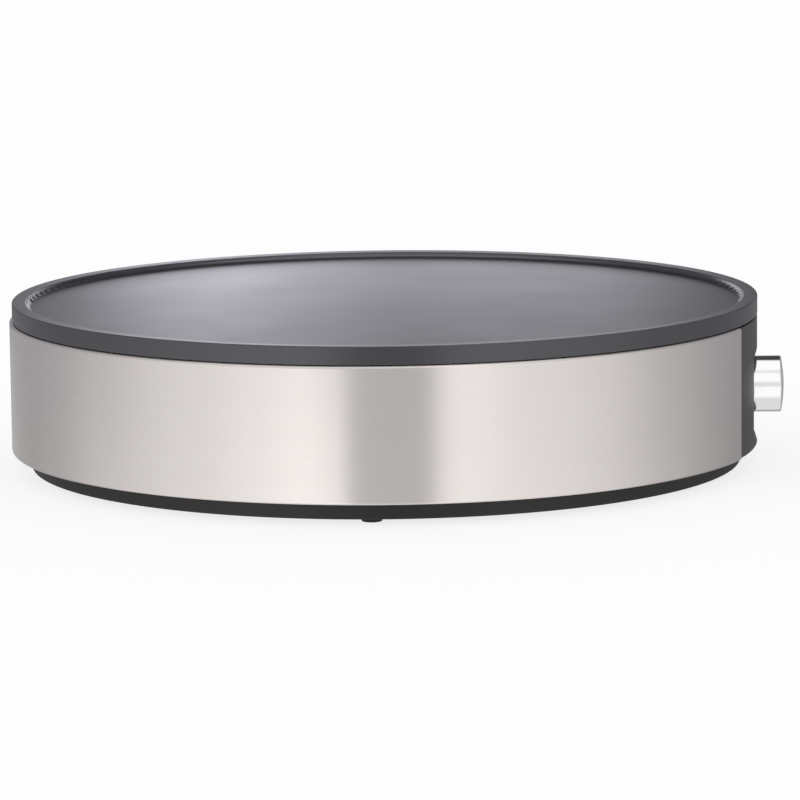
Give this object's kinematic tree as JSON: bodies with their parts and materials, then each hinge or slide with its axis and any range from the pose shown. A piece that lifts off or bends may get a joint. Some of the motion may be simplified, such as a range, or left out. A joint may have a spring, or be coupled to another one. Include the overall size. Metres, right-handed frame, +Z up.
{
  "type": "electric crepe maker",
  "caption": "Round electric crepe maker: flat rimmed hot plate on a drum housing with a brushed steel band, dark control panel, bright turning knob and rubber feet.",
  "frame": {"origin": "on the housing's vertical axis, at the plane of the feet", "axes": "+Z up out of the cooking surface; the control panel and knob face -Y"},
  "size_m": [0.3526, 0.3637, 0.0799],
  "materials": {
    "plate": "dark non-stick coating",
    "band": "brushed",
    "panel": "satin black",
    "base": "matt black",
    "knob": "bright",
    "pointer": "matt black",
    "rubber": "matt",
    "element": "oxidised sheath",
    "ceramic": "unglazed ceramic",
    "steel": "zinc plated",
    "reflector": "bright sheet",
    "copper": "copper",
    "brass": "plain",
    "fuse": "plain",
    "moulding": "phenolic moulding",
    "red_lens": "tinted lens",
    "green_lens": "tinted lens",
    "terminal_block": "natural nylon",
    "sleeve": "crimp sleeve",
    "wire_brown": "silicone sleeve",
    "wire_blue": "silicone sleeve",
    "wire_green": "silicone sleeve",
    "wire_grey": "silicone sleeve"
  },
  "bodies": {
    "housing": {"hot_plate": "plate", "heating_element": "element", "element_seals": "ceramic", "element_pins": "steel", "element_clamps": "steel", "clamp_screws": "steel", "plate_studs": "steel", "stud_insulators": "ceramic", "stud_spacers": "steel", "stud_washers": "steel", "stud_nuts": "steel", "heat_reflector": "reflector", "sensor_bulb": "copper", "capillary_tube": "copper", "bulb_clip": "steel", "bulb_clip_screws": "steel", "thermal_fuse": "fuse", "fuse_clip": "steel", "fuse_clip_screws": "steel", "earth_tag": "brass", "earth_screw": "brass", "base_pan": "base", "rubber_feet": "rubber", "steel_band": "band", "base_screws": "steel", "control_panel": "panel", "panel_screws": "steel", "cord_gland": "base", "gland_nut": "base", "thermostat_body": "moulding", "thermostat_bracket": "steel", "thermostat_screws": "steel", "bracket_screws": "steel", "thermostat_tabs": "brass", "push_on_connectors": "brass", "power_lamp_lens": "red_lens", "ready_lamp_lens": "green_lens", "lamp_holders": "moulding", "terminal_block": "terminal_block", "terminal_screws": "brass", "block_screws": "steel", "splice": "sleeve", "lamp_leads": "wire_grey", "wire_supply_live": "wire_brown", "wire_heater_live": "wire_brown", "wire_fuse_link": "wire_brown", "wire_neutral": "wire_blue", "wire_earth": "wire_green", "wire_lamp_neutral": "wire_blue"},
    "knob": {"knob": "knob", "knob_pointer": "pointer", "knob_clip": "steel", "thermostat_spindle": "steel"}
  },
  "joints": [
    {"name": "knob_turn", "type": "hinge", "parent": "housing", "child": "knob", "pos_m": [0, -0.1725, 0.0366], "axis": [0, 1, 0], "range_deg": [0, 270]}
  ]
}
